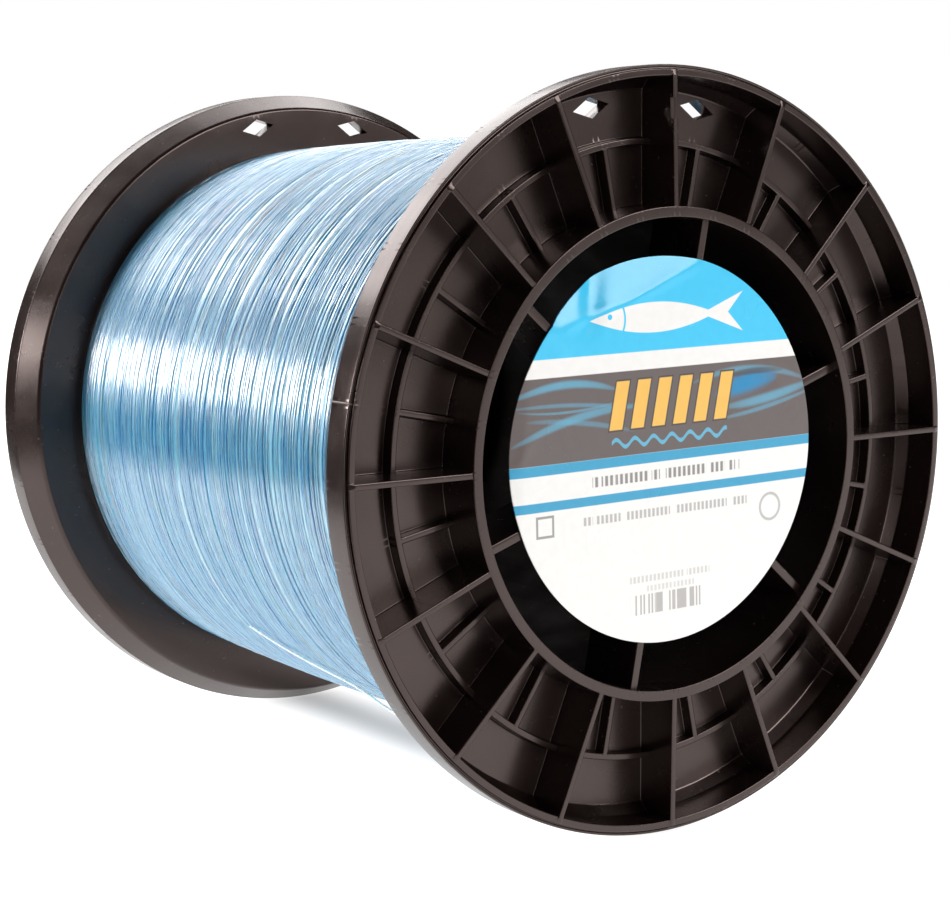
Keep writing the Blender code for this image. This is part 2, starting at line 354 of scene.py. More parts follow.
def wall_profile(distance, top, floor):
    """Depth at a distance outside a wall's edge: rounded at the top, with a fillet at the foot."""
    depths = np.stack(np.broadcast_arrays(
        *[top + drop for drop in TOP_DROPS],
        *[floor - rise for rise in FOOT_RISES],
    ))
    place = np.interp(distance, WALL_STEPS, np.arange(len(WALL_STEPS)))
    low = np.minimum(place.astype(int), len(WALL_STEPS) - 2)
    share = place - low
    first = np.take_along_axis(depths, low[None], axis=0)[0]
    second = np.take_along_axis(depths, low[None] + 1, axis=0)[0]
    return first + share * (second - first)


def pocket_floor(radius):
    """Depth of the pockets' floor, which rises as a cone towards the rim."""
    return FLOOR_DEPTH - np.maximum(radius - CONE_START, 0.0)


def relief_depth(radius, angle):
    """Depth of the flange's ribbed face at a radius and an angle (arrays of one shape)."""
    step = 2 * math.pi / RIB_COUNT
    turn = angle - math.pi / 2
    from_rib = (turn + step / 2) % step - step / 2
    from_middle = turn % step - step / 2
    floor = pocket_floor(radius)
    slope = (RIB_PROUD_AT_RIM - RIB_PROUD_AT_HUB) / (RIM_INNER_RADIUS - HUB_OUTER_RADIUS)
    rib_top = -RIB_PROUD_AT_HUB - slope * (radius - HUB_OUTER_RADIUS)
    top_rib = np.abs((turn + math.pi) % (2 * math.pi) - math.pi) < step / 4
    in_notch = (radius > NOTCH[0]) & (radius < NOTCH[1]) & top_rib
    rib_top = rib_top + np.where(in_notch, NOTCH_DEPTH, 0.0)
    outside_rib = np.abs(radius * np.sin(from_rib)) - RIB_HALF
    rib = wall_profile(outside_rib, rib_top, floor)
    hub = wall_profile(radius - HUB_OUTER_RADIUS, -HUB_PROUD + 0 * radius, floor)
    lip = wall_profile(RIM_INNER_RADIUS - radius, -LIP_PROUD + 0 * radius, floor)
    outside_arc = np.maximum(ARC_RIB[0] - radius, radius - ARC_RIB[1])
    arc = wall_profile(outside_arc, ARC_RIB_DEPTH + 0 * radius, floor)
    outside_short = np.abs(radius * np.sin(from_middle)) - RIB_HALF
    short = wall_profile(outside_short, SHORT_RIB_DEPTH + 0 * radius, floor)
    short = np.where(radius < sum(ARC_RIB) / 2, short, floor)
    return np.minimum.reduce([rib, hub, lip, arc, short])


def grid_angles(radius):
    """Angles of the grid lines at a radius: close together at the walls of ribs and short ribs."""
    offsets = sorted({side * (RIB_HALF + step) for step in WALL_STEPS for side in (-1, 1)} | {0.0})
    reach = [math.asin(offset / radius) for offset in offsets]
    half = math.pi / RIB_COUNT
    angles = []
    for i in range(2 * RIB_COUNT):
        centre = math.pi / 2 + i * half
        angles += [centre + r for r in reach]
        first = centre + reach[-1]
        last = centre + half + reach[0]
        for k in range(1, POCKET_LINES + 1):
            angles.append(first + (last - first) * k / (POCKET_LINES + 1))
    return np.array(angles)


def relief_radii():
    """Radii of the grid lines of the ribbed face, from the hub ring to the lip."""
    radii = [HUB_OUTER_RADIUS + s for s in WALL_STEPS]
    radii += POCKET_RINGS
    radii += [ARC_RIB[0] - s for s in reversed(WALL_STEPS)]
    radii += [ARC_RIB[1] + s for s in WALL_STEPS]
    for edge in NOTCH:
        radii += [edge - NOTCH_STEP, edge + NOTCH_STEP]
    radii += [CONE_START - CONE_EASE, CONE_START, CONE_START + CONE_EASE]
    radii += [RIM_INNER_RADIUS - s for s in reversed(WALL_STEPS)]
    return sorted(radii)


def turned_profile():
    """(radius, depth) of the rest of the flange, from the lip round the back to the hub ring.

    The lip's outside meets the rim in a shallow groove; the rim's band ends in a cone to the web.
    """
    spigot_end = WEB_LINE_DEPTH + SPIGOT_LENGTH
    band = RIM_RADIUS
    return [
        (LIP_RADIUS - EDGE, -LIP_PROUD),
        (LIP_RADIUS - EDGE_MIDDLE, -LIP_PROUD + EDGE_MIDDLE),
        (LIP_RADIUS, -LIP_PROUD + EDGE),
        (LIP_RADIUS + 0.02, 0.25),
        (LIP_RADIUS + 0.10, 0.34),
        (LIP_RADIUS + 0.28, 0.34),
        (LIP_RADIUS + 0.36, 0.16),
        (LIP_RADIUS + 0.44, 0.06),
        (band - 0.22, 0.0),
        (band - 0.07, 0.06),
        (band, 0.22),
        (band, 2.0),
        (band, 4.0),
        (band, RIM_DEPTH - 0.3),
        (band - 0.10, RIM_DEPTH - 0.08),
        (band - 0.35, RIM_DEPTH + 0.25),
        (WEB_LINE_START + 0.6, WEB_LINE_DEPTH - 1.0),
        (WEB_LINE_START + 0.1, WEB_LINE_DEPTH - 0.25),
        (WEB_LINE_START - 0.5, WEB_LINE_DEPTH),
        (82.0, WEB_LINE_DEPTH),
        (74.0, WEB_LINE_DEPTH),
        (66.0, WEB_LINE_DEPTH),
        (HUB_OUTER_RADIUS, WEB_LINE_DEPTH),
        (HUB_OUTER_RADIUS, spigot_end),
        (HUB_INNER_RADIUS, spigot_end),
        (HUB_INNER_RADIUS, FLOOR_DEPTH),
        (HUB_INNER_RADIUS, -HUB_PROUD + EDGE),
        (HUB_INNER_RADIUS + EDGE_MIDDLE, -HUB_PROUD + EDGE_MIDDLE),
        (HUB_INNER_RADIUS + EDGE, -HUB_PROUD),
    ]


def flange_body():
    """Closed mesh of one moulding without its spokes, boss and holes, on the part's own axis."""
    rings = []
    for radius in relief_radii():
        angles = grid_angles(radius)
        depths = relief_depth(np.full(len(angles), radius), angles)
        rings.append((radius, angles, depths))
    for radius, depth in turned_profile():
        angles = grid_angles(radius)
        rings.append((radius, angles, np.full(len(angles), depth)))
    points = []
    for radius, angles, depths in rings:
        points.append(np.stack([
            radius * np.cos(angles),
            depths - WIDTH / 2,
            radius * np.sin(angles),
        ], axis=1))
    vertices = np.concatenate(points) * MM
    faces = loop_faces(len(rings), len(rings[0][1]), True)
    return mesh_object("flange", vertices, faces)


def spokes():
    """Spokes from the boss to the hub ring, chamfered at their outer edges."""
    section = [
        (-SPOKE_HALF, SPOKE_LENGTH),
        (-SPOKE_HALF, SPOKE_CHAMFER),
        (-SPOKE_HALF + SPOKE_CHAMFER, 0.0),
        (SPOKE_HALF - SPOKE_CHAMFER, 0.0),
        (SPOKE_HALF, SPOKE_CHAMFER),
        (SPOKE_HALF, SPOKE_LENGTH),
    ]
    shapes = []
    for i in range(SPOKE_COUNT):
        angle = SPOKE_PHASE + i * 2 * math.pi / SPOKE_COUNT
        out = Vector((math.cos(angle), 0.0, math.sin(angle)))
        side = Vector((-out.z, 0.0, out.x))
        ends = []
        for radius in ((BOSS_RADIUS + BORE_RADIUS) / 2, HUB_INNER_RADIUS + SPOKE_EMBED):
            ends.append([
                out * radius + side * across + Vector((0.0, SPOKE_DEPTH + down - WIDTH / 2, 0.0))
                for across, down in section
            ])
        shapes.append(ends)
    return extruded("spokes", shapes)


def boss():
    """Tube round the spindle's bore."""
    near = SPOKE_DEPTH + BOSS_STEP
    far = near + BOSS_LENGTH
    profile = [(BOSS_RADIUS, near), (BOSS_RADIUS, far), (BORE_RADIUS, far), (BORE_RADIUS, near)]
    return turned("boss", profile, BOSS_SIDES, 0.0)


def line_holes():
    """Diamond cutters through the web, a little wider at the ribbed face."""
    near = FLOOR_DEPTH - CUTTER_MARGIN
    cuts = (
        (1.0, WEB_LINE_DEPTH + CUTTER_MARGIN),
        (HOLE_FLARE, FLOOR_DEPTH + HOLE_FLARE_DEPTH),
    )
    shapes = []
    for side in (-1, 1):
        angle = math.pi / 2 + side * HOLE_OFFSET
        out = Vector((math.cos(angle), 0.0, math.sin(angle)))
        along = Vector((-out.z, 0.0, out.x))
        for near_size, far in cuts:
            ends = []
            for depth, size in ((near, near_size), (far, 1.0)):
                centre = out * HOLE_RADIUS + Vector((0.0, depth - WIDTH / 2, 0.0))
                ends.append([
                    centre + along * HOLE_HALF_WIDTH * size,
                    centre + out * HOLE_HALF_HEIGHT * size,
                    centre - along * HOLE_HALF_WIDTH * size,
                    centre - out * HOLE_HALF_HEIGHT * size,
                ])
            shapes.append(ends)
    return extruded("line_holes", shapes)


def flanges(material):
    """The front flange, and the same moulding turned round for the back."""
    front = flange_body()
    combine(front, boss(), "UNION")
    combine(front, spokes(), "UNION")
    combine(front, line_holes(), "DIFFERENCE")
    front.modifiers[-1].use_self = True
    apply_modifiers(front)
    smooth(front, FLANGE_SHARP)
    front.data.materials.clear()
    front.data.materials.append(material)
    back = bpy.data.objects.new("flange_back", front.data)
    bpy.context.scene.collection.objects.link(back)
    back.rotation_euler.z = math.pi
    front.name = "flange_front"
    for piece, node in ((front, "front_flange"), (back, "back_flange")):
        piece.location.z = AXIS_HEIGHT * MM
        weighted = piece.modifiers.new("weighted", "WEIGHTED_NORMAL")
        weighted.keep_sharp = True
        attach(piece, "root")
        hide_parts(node)


# ---------------------------------------------------------------- wound line

def wander(rng, turns, waves, size):
    """Smooth random wander along a strand: a sum of slow waves, at so many per turn."""
    total = np.zeros_like(turns)
    for per_turn, share in waves:
        total += share * np.sin(2 * np.pi * (per_turn * turns + rng.random()))
    return size * total


def tube(name, centre_radius, angles, depths):
    """Closed tube along a line that runs round the axis."""
    around = np.linspace(0.0, 2 * np.pi, STRAND_SIDES, endpoint=False)
    radius = centre_radius[:, None] + LINE_DIAMETER / 2 * np.cos(around)[None]
    depth = depths[:, None] + LINE_DIAMETER / 2 * np.sin(around)[None]
    x = radius * np.cos(angles)[:, None]
    z = radius * np.sin(angles)[:, None] + AXIS_HEIGHT
    vertices = np.stack([x, depth - WIDTH / 2, z], axis=-1).reshape(-1, 3) * MM
    faces = loop_faces(len(angles), STRAND_SIDES, False)
    last = (len(angles) - 1) * STRAND_SIDES
    faces.append(list(range(STRAND_SIDES)))
    faces.append(list(range(last, last + STRAND_SIDES)))
    piece = mesh_object(name, vertices, faces)
    piece.data.shade_smooth()
    return piece


def strand_layer(name, seed, hand, pitch, sink, material):
    """One long strand that runs from web to web in open turns."""
    rng = np.random.default_rng(seed)
    near = WEB_LINE_DEPTH + WEB_GAP + LINE_DIAMETER
    far = WIDTH - near
    count = int((far - near) / pitch)
    turns = np.arange(count * STRAND_STEPS + 1) / STRAND_STEPS
    share = turns / count
    depths = near + (far - near) * (share if hand > 0 else 1 - share)
    depths = depths + wander(rng, turns, DEPTH_WAVES, pitch * DEPTH_WANDER)
    depths = np.clip(depths, near - LINE_DIAMETER / 2, far + LINE_DIAMETER / 2)
    angles = hand * 2 * np.pi * turns + rng.random() * 2 * np.pi
    radius = winding_radius(depths) - LINE_DIAMETER / 2 - sink
    radius = radius + wander(rng, turns, HEIGHT_WAVES, HEIGHT_WANDER)
    piece = tube(name, radius, angles, depths)
    piece.data.materials.append(material)
    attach(piece, "root")


def winding(material, core_painted_light_material):
    """The wound line: a smooth core in paler blues, painted light for the shaded gaps between strands,
    with layers of open strands over it.
    """
    near = WEB_LINE_DEPTH + WEB_GAP
    far = WIDTH - near
    depths = np.linspace(near, far, CORE_STATIONS)
    profile = [(winding_radius(d) - LINE_DIAMETER * CORE_SINK, d) for d in depths]
    profile += [(BARREL_RADIUS, far), (BARREL_RADIUS, near)]
    core = turned("winding_core", profile, CORE_SIDES, AXIS_HEIGHT)
    smooth(core, CORE_SHARP)
    # The core's paler material is painted light in the shaded gaps between the strands
    core.data.materials.append(core_painted_light_material)
    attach(core, "root")
    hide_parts("line_winding")
    for i, (seed, hand, pitch, sink) in enumerate(STRAND_LAYERS):
        strand_layer("winding_turns_" + str(i + 1), seed, hand, pitch, sink, material)


def smooth_route(points, steps):
    """Points read from a Catmull-Rom curve through the given ones."""
    ends = [2 * points[0] - points[1]] + points + [2 * points[-1] - points[-2]]
    route = []
    for before, start, stop, after in zip(ends, ends[1:], ends[2:], ends[3:]):
        for i in range(steps):
            t = i / steps
            bend = 2 * before - 5 * start + 4 * stop - after
            twist = 3 * start - before - 3 * stop + after
            route.append(0.5 * (2 * start + (stop - before) * t + bend * t ** 2 + twist * t ** 3))
    return route + [points[-1]]


def line_tail(material):
    """Loose end of the line, lying across the turns and cut off; its paler material is painted light.
    """
    points = []
    for degrees, depth, height in TAIL_ROUTE:
        points.append(spot(winding_radius(depth) + height, math.radians(degrees), depth))
    route = smooth_route(points, TAIL_STEPS)
    curve = bpy.data.curves.new("loose_end", "CURVE")
    curve.dimensions = "3D"
    curve.bevel_depth = LINE_DIAMETER / 2 * MM
    curve.bevel_resolution = TAIL_BEVEL_STEPS
    curve.use_fill_caps = True
    spline = curve.splines.new("POLY")
    spline.points.add(len(route) - 1)
    for point, position in zip(spline.points, route):
        point.co = (*position, 1.0)
    # The paler material given here is painted light on the loose end
    curve.materials.append(material)
    piece = bpy.data.objects.new("loose_end", curve)
    bpy.context.scene.collection.objects.link(piece)
    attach(piece, "root")
    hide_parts("line_tail")


# ---------------------------------------------------------------- labels

def ridge(x, y, start, stop, width, height):
    """Height of a fold that runs from start to stop and dies out towards its ends."""
    along = np.array(stop) - np.array(start)
    length = math.hypot(*along)
    t = ((x - start[0]) * along[0] + (y - start[1]) * along[1]) / length ** 2
    across = ((x - start[0]) * along[1] - (y - start[1]) * along[0]) / length
    fade = np.clip(1 - (2 * t - 1) ** 2, 0.0, 1.0)
    return height * fade * np.exp(-(across / width) ** 2)


def beyond(x, y, start, stop):
    """Signed distance to the left of the line from start to stop."""
    along = np.array(stop) - np.array(start)
    return ((y - start[1]) * along[0] - (x - start[0]) * along[1]) / math.hypot(*along)


def label_height(x, y):
    """How far the paper lifts off its flat; it sags where its edge hangs free between two spokes."""
    across = np.sin(x * RIPPLE_ACROSS[0] + RIPPLE_ACROSS[1])
    up = np.sin(y * RIPPLE_UP[0] + RIPPLE_UP[1])
    lift = RIPPLE_HEIGHT * across * up
    outside = np.minimum(
        beyond(x, y, SAG_MIDDLE, SAG_RIGHT),
        beyond(x, y, SAG_LEFT, SAG_MIDDLE),
    )
    rounded = (outside + np.sqrt(outside ** 2 + SAG_ROUNDING ** 2)) / 2
    lift = lift - SAG_SLOPE * (rounded - SAG_ROUNDING / 8)
    left = beyond(x, y, CREASE_START, CREASE_STOP)
    lift = lift - CREASE_SLOPE * (left + np.sqrt(left ** 2 + CREASE_SOFTNESS)) / 2
    for start, stop, width, height in LABEL_FOLDS:
        lift = lift + ridge(x, y, start, stop, width, height)
    return lift


def label(name, node, shift, at_back, material):
    """Round paper label with slight folds, printed side towards the flange's outside."""
    rings = LABEL_RINGS
    columns = LABEL_COLUMNS
    radii = np.linspace(LABEL_CENTRE, LABEL_RADIUS, rings)
    angles = np.linspace(0.0, 2 * np.pi, columns, endpoint=False)
    r, a = np.meshgrid(radii, angles, indexing="ij")
    x = (r * np.cos(a)).ravel()
    y = (r * np.sin(a)).ravel()
    lift = label_height(x, y)
    face = np.stack([x, -lift, y], axis=1)
    back = np.stack([x, LABEL_THICKNESS - lift, y], axis=1)
    order = np.arange(rings * columns).reshape(rings, columns)
    vertices = np.concatenate([face, back[order[::-1].ravel()]]) * MM
    faces = loop_faces(2 * rings, columns, False)
    last = (2 * rings - 1) * columns
    faces.append(list(range(columns)))
    faces.append(list(range(last, last + columns)))
    piece = mesh_object(name, vertices, faces)
    smooth(piece, LABEL_SHARP)
    piece.data.materials.append(material)
    end = 1 if at_back else -1
    piece.location = Vector((-end * shift[0], end * WIDTH / 2, AXIS_HEIGHT + shift[1])) * MM
    piece.rotation_euler = (0.0, PRINT_TILT, math.pi if at_back else 0.0)
    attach(piece, "root")
    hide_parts(node)


# ---------------------------------------------------------------- materials

class Graph:
    """A material's node tree, written as short calls that hand on sockets or numbers."""

    def __init__(self, name):
        self.material = bpy.data.materials.new(name)
        self.material.use_nodes = True
        self.tree = self.material.node_tree
        self.shader = self.tree.nodes["Principled BSDF"]

    def feed(self, socket, value):
        """Link a socket to another's output, or set its value."""
        if hasattr(value, "is_output"):
            self.tree.links.new(value, socket)
        elif value is not None:
            socket.default_value = value

    def node(self, kind, inputs=(), **settings):
        made = self.tree.nodes.new(kind)
        for key, value in settings.items():
            setattr(made, key, value)
        for key, value in dict(inputs).items():
            self.feed(made.inputs[key], value)
        return made

    def math(self, operation, a, b=None, c=None):
        made = self.node("ShaderNodeMath", operation=operation)
        for socket, value in zip(made.inputs, (a, b, c)):
            self.feed(socket, value)
        return made.outputs[0]

    def mix(self, share, a, b, blend="MIX"):
        made = self.node("ShaderNodeMix", data_type="RGBA", blend_type=blend)
        self.feed(made.inputs[0], share)
        self.feed(made.inputs[6], a)
        self.feed(made.inputs[7], b)
        return made.outputs[2]

    def scaled(self, vector, scale):
        made = self.node("ShaderNodeVectorMath", operation="MULTIPLY")
        self.feed(made.inputs[0], vector)
        made.inputs[1].default_value = scale
        return made.outputs[0]

    def noise(self, vector, scale, detail=3.0):
        made = self.node("ShaderNodeTexNoise", {"Vector": vector, "Scale": scale, "Detail": detail})
        return made.outputs[0]

    def ramp(self, value, low, high, out_low=0.0, out_high=1.0):
        """Smooth change from one value to another as the input goes from low to high."""
        made = self.node("ShaderNodeMapRange", interpolation_type="SMOOTHSTEP")
        for socket, number in zip(made.inputs, (value, low, high, out_low, out_high)):
            self.feed(socket, number)
        return made.outputs[0]

    def band(self, value, low, high, soft=0.12):
        """1 between low and high and 0 outside, with soft edges."""
        rise = self.ramp(value, low - soft, low + soft)
        fall = self.ramp(value, high + soft, high - soft)
        return self.math("MULTIPLY", rise, fall)

    def distance(self, u, v, across, up):
        """Distance of the place (u, v) from a fixed point."""
        sideways = self.math("SUBTRACT", u, across)
        upwards = self.math("SUBTRACT", v, up)
        square = self.math("MULTIPLY_ADD", sideways, sideways, self.math("MULTIPLY", upwards, upwards))
        return self.math("SQRT", square)

    def object_place(self):
        return self.node("ShaderNodeTexCoord").outputs["Object"]

    def parts(self, vector):
        return self.node("ShaderNodeSeparateXYZ", {0: vector}).outputs

    def bump(self, height, distance, strength=1.0, normal=None):
        inputs = {"Height": height, "Distance": distance, "Strength": strength}
        made = self.node("ShaderNodeBump", inputs)
        self.feed(made.inputs["Normal"], normal)
        return made.outputs[0]

    def set(self, **values):
        """Feed the shader's sockets and hand back the material."""
        for key, value in values.items():
            self.feed(self.shader.inputs[key.replace("_", " ")], value)
        return self.material


def grey(value):
    """A grey as a colour."""
    return (value, value, value, 1.0)


# Colours of the print
PAPER_WHITE = (0.86, 0.85, 0.83, 1.0)
CYAN = (0.045, 0.55, 0.86, 1.0)
DEEP_CYAN = (0.0, 0.24, 0.50, 1.0)
PALE_BLUE = (0.12, 0.42, 0.60, 1.0)
STRIPE_BLUE = (0.040, 0.34, 0.56, 1.0)
WARM_GREY = (0.125, 0.102, 0.097, 1.0)
INK_GREY = (0.060, 0.052, 0.050, 1.0)
SMALL_INK = (0.20, 0.185, 0.18, 1.0)
YELLOW = (0.86, 0.50, 0.10, 1.0)

# Plastic
PLASTIC_DARK = (0.0045, 0.0020, 0.0018, 1.0)
PLASTIC_LIGHT = (0.0070, 0.0040, 0.0036, 1.0)
DUST = (0.22, 0.20, 0.19, 1.0)
DUST_SHARE = 0.25
WARM_GLOSS = (1.0, 0.78, 0.72, 1.0)

# The mould's seam across the rim, in metres: it lies at the left, where it slopes down
SEAM_SLOPE = math.tan(math.radians(11.3))
SEAM_EDGES = (0.00022, 0.00006)
SEAM_SIDE = (-0.08, -0.09)
SEAM_RADII = (0.0902, 0.0906)
SEAM_PALE = (0.13, 0.11, 0.10, 1.0)
SEAM_SHARE = 0.8

# Line: darkest and lightest blue of each material
OUTER_BLUES = ((0.016, 0.225, 0.46, 1.0), (0.062, 0.325, 0.51, 1.0))
# The core's blues are paler than the turns': painted light that fills the shade in the gaps between
# strands
PAINTED_LIGHT_CORE_BLUES = ((0.08, 0.40, 0.62, 1.0), (0.16, 0.50, 0.70, 1.0))
# The loose end's blues are paler than the turns': painted light, the shine of a strand standing clear
# of the winding
PAINTED_LIGHT_TAIL_BLUES = ((0.70, 0.84, 0.90, 1.0), (0.86, 0.92, 0.95, 1.0))
LINE_STREAKS = (45.0, 1400.0, 45.0)


def plastic_material(name, smoothest, roughest, gloss):
    """Dark moulded plastic with cloudy colour, dust specks, fine grain and a seam on the rim."""
    g = Graph(name)
    place = g.object_place()
    x, _, z = g.parts(place)
    cloud = g.noise(place, 28.0, 4.0)
    colour = g.mix(g.ramp(cloud, 0.35, 0.7), PLASTIC_DARK, PLASTIC_LIGHT)
    dust = g.ramp(g.noise(place, 900.0, 1.0), 0.72, 0.80)
    colour = g.mix(g.math("MULTIPLY", dust, DUST_SHARE), colour, DUST)
    rough = g.ramp(g.noise(place, 60.0, 5.0), 0.3, 0.7, smoothest, roughest)
    grain = g.bump(g.noise(place, 1500.0, 1.0), distance=0.00002, strength=0.25)
    radius = g.math("SQRT", g.math("MULTIPLY_ADD", x, x, g.math("MULTIPLY", z, z)))
    off_seam = g.math("ABSOLUTE", g.math("MULTIPLY_ADD", x, SEAM_SLOPE, z))
    seam = g.math("MULTIPLY", g.ramp(off_seam, *SEAM_EDGES), g.ramp(x, *SEAM_SIDE))
    seam = g.math("MULTIPLY", seam, g.ramp(radius, *SEAM_RADII))
    colour = g.mix(g.math("MULTIPLY", seam, SEAM_SHARE), colour, SEAM_PALE)
    return g.set(
        Base_Color=colour,
        Roughness=rough,
        IOR=1.68,
        Specular_IOR_Level=gloss,
        Specular_Tint=WARM_GLOSS,
        Normal=g.bump(seam, distance=0.00008, normal=grain),
    )


def line_material(name, dark, light):
    """Clear nylon line, streaked along its turns, with some light let into it."""
    g = Graph(name)
    place = g.object_place()
    streak = g.noise(g.scaled(place, LINE_STREAKS), 1.0, 3.0)
    return g.set(
        Base_Color=g.mix(g.ramp(streak, 0.35, 0.68), dark, light),
        Roughness=g.ramp(streak, 0.3, 0.7, 0.20, 0.38),
        IOR=2.12,
        Subsurface_Weight=0.8,
        Subsurface_Radius=(0.35, 0.9, 1.0),
        Subsurface_Scale=0.0016,
        Coat_Weight=1.0,
        Coat_IOR=2.15,
        Coat_Roughness=0.20,
    )


# The print, in millimetres from the label's middle: u to the right and v up.  Each function lays
# its shapes over a colour and hands back the new one.
BANDS = (
    (24.3, 60.0, CYAN),
    (0.0, 20.0, WARM_GREY),
    (-2.4, 0.0, STRIPE_BLUE),
    (-10.8, -8.6, STRIPE_BLUE),
)
# Curved ribbons: start, stop, bulge in the middle, half width, ink, strength
RIBBONS = (
    ((-46, 15.2), (-15, 15.8), 2.6, 1.0, PALE_BLUE, 0.75),
    ((-46, 13.4), (-10, 11.2), 0.9, 0.5, PALE_BLUE, 0.45),
    ((-44, 12.6), (-14, 13.2), -1.2, 0.3, PALE_BLUE, 0.5),
    ((-46, 4.6), (-8, 11.6), 2.0, 1.1, PALE_BLUE, 0.65),
    ((-42, 10.2), (-10, 5.6), 1.0, 0.7, PALE_BLUE, 0.4),
    ((8, 15.6), (46, 13.8), 3.2, 0.9, PALE_BLUE, 0.55),
    ((15, 12.0), (36, 15.6), 0.8, 2.9, DEEP_CYAN, 0.95),
    ((18, 16.4), (38, 16.8), 0.6, 0.9, INK_GREY, 0.8),
    ((18, 9.0), (48, 13.6), -0.9, 1.3, PALE_BLUE, 0.7),
    ((16, 6.2), (48, 11.6), -0.8, 0.6, PALE_BLUE, 0.5),
)
RIBBON_MIN = 0.1              # half width left at a ribbon's ends
INK_EDGE = 0.12               # softness of an inked edge

FISH_MIDDLE = (-3.5, 32.2)
FISH_HALF_LENGTH = 19.0
FISH_HALF_HEIGHT = 3.6
FISH_TAIL_START = 11.0
FISH_TAIL_SPREAD = 0.36       # rise of the tail's edges for each millimetre along it
FISH_TAIL_END = 23.0
FISH_TAIL_NOTCH = 3.4
FISH_EYE = (-17.0, 32.9)
FISH_EYE_RADII = (0.75, 0.60)
FISH_GILL = (-19.0, 32.2)
FISH_GILL_RADIUS = 6.5
FISH_GILL_WIDTHS = (0.35, 0.2)

BAR_SLANT = -0.22
BAR_REACH = (-20.0, 19.0)
BAR_PITCH = 6.5
BAR_SHARE = (0.14, 0.74)      # of the pitch
BAR_ROWS = (6.3, 17.7)
BAR_EDGE = 0.4                # outline round the bars
BAR_EDGE_SHARE = 0.06         # the same along the pitch
WAVE_RATE = 1.1
WAVE_SWING = 0.9
WAVE_MIDDLE = 3.1
WAVE_WIDTHS = (0.6, 0.4)
WAVE_REACH = (-17.0, 19.0)

# Rows of plain marks: low, high, left, right, pitch, strength
MARK_ROWS = (
    (-6.6, -4.2, -23.0, 23.0, 1.5, 0.9),
    (-15.4, -13.4, -26.0, 26.0, 1.3, 0.6),
    (-31.0, -29.4, -12.0, 13.0, 1.25, 0.35),
    (-33.4, -32.0, -7.0, 8.0, 1.2, 0.3),
)
MARK_SHARE = (0.2, 0.78)      # of the pitch
WORD_SCALE = 0.33             # of the noise that groups the marks
WORD_CUT = (0.36, 0.40)
THIN_BAR = 0.5
THIN_BAR_CUT = (0.44, 0.48)
THIN_BAR_REACH = (-12.0, 12.5)
THIN_BAR_ROWS = (-38.8, -34.0)
THIN_BAR_STRENGTH = 0.6

SQUARE_MIDDLE = (-37.0, -14.4)
SQUARE_SIDES = (2.0, 2.6)     # inner and outer half side
SQUARE_STRENGTH = 0.8
RING_MIDDLE = (33.0, -17.0)
RING_RADII = (2.9, 3.6)
RING_STRENGTH = 0.55


def print_bands(g, v, colour):
    """Broad bands across the label."""
    for low, high, ink in BANDS:
        colour = g.mix(g.band(v, low, high), colour, ink)
    return colour


def print_ribbons(g, u, v, colour):
    """Curved ribbons that taper towards their ends."""
    for start, stop, bulge, half, ink, strength in RIBBONS:
        t = g.math("DIVIDE", g.math("SUBTRACT", u, start[0]), stop[0] - start[0])
        arch = g.math("MULTIPLY", g.math("MULTIPLY", t, g.math("SUBTRACT", 1.0, t)), 4 * bulge)
        middle = g.math("ADD", g.math("MULTIPLY_ADD", t, stop[1] - start[1], start[1]), arch)
        across = g.math("ABSOLUTE", g.math("SUBTRACT", v, middle))
        taper = g.math("SQRT", g.math("MAXIMUM", g.math("DIVIDE", arch, bulge), 0.0))
        outer = g.math("MULTIPLY_ADD", taper, half * 1.25, RIBBON_MIN)
        mask = g.ramp(across, outer, g.math("MULTIPLY", outer, 0.25))
        mask = g.math("MULTIPLY", g.math("MULTIPLY", mask, taper), strength)
        colour = g.mix(mask, colour, ink)
    return colour


def print_fish(g, u, v, colour):
    """Plain fish in the top band."""
    across = g.math("ABSOLUTE", g.math("SUBTRACT", v, FISH_MIDDLE[1]))
    t = g.math("DIVIDE", g.math("SUBTRACT", u, FISH_MIDDLE[0]), FISH_HALF_LENGTH)
    half = g.math("SUBTRACT", 1.0, g.math("MULTIPLY", t, t))
    half = g.math("MULTIPLY", half, FISH_HALF_HEIGHT)
    body = g.ramp(g.math("SUBTRACT", half, across), -INK_EDGE, INK_EDGE)
    fork = g.math("MULTIPLY", g.math("SUBTRACT", u, FISH_TAIL_START), FISH_TAIL_SPREAD)
    tail = g.ramp(g.math("SUBTRACT", fork, across), -INK_EDGE, INK_EDGE)
    notch = g.math("SUBTRACT", FISH_TAIL_END, g.math("SUBTRACT", FISH_TAIL_NOTCH, across))
    notch = g.math("SUBTRACT", notch, u)
    tail = g.math("MULTIPLY", tail, g.ramp(notch, -INK_EDGE, INK_EDGE))
    tail = g.math("MULTIPLY", tail, g.ramp(u, FISH_TAIL_START - 0.1, FISH_TAIL_START + 0.1))
    eye = g.ramp(g.distance(u, v, *FISH_EYE), *FISH_EYE_RADII)
    off_gill = g.math("SUBTRACT", g.distance(u, v, *FISH_GILL), FISH_GILL_RADIUS)
    gill = g.ramp(g.math("ABSOLUTE", off_gill), *FISH_GILL_WIDTHS)
    shape = g.math("MAXIMUM", body, tail)
    bare = g.math("SUBTRACT", 1.0, g.math("MAXIMUM", eye, gill))
    return g.mix(g.math("MULTIPLY", shape, bare), colour, PAPER_WHITE)


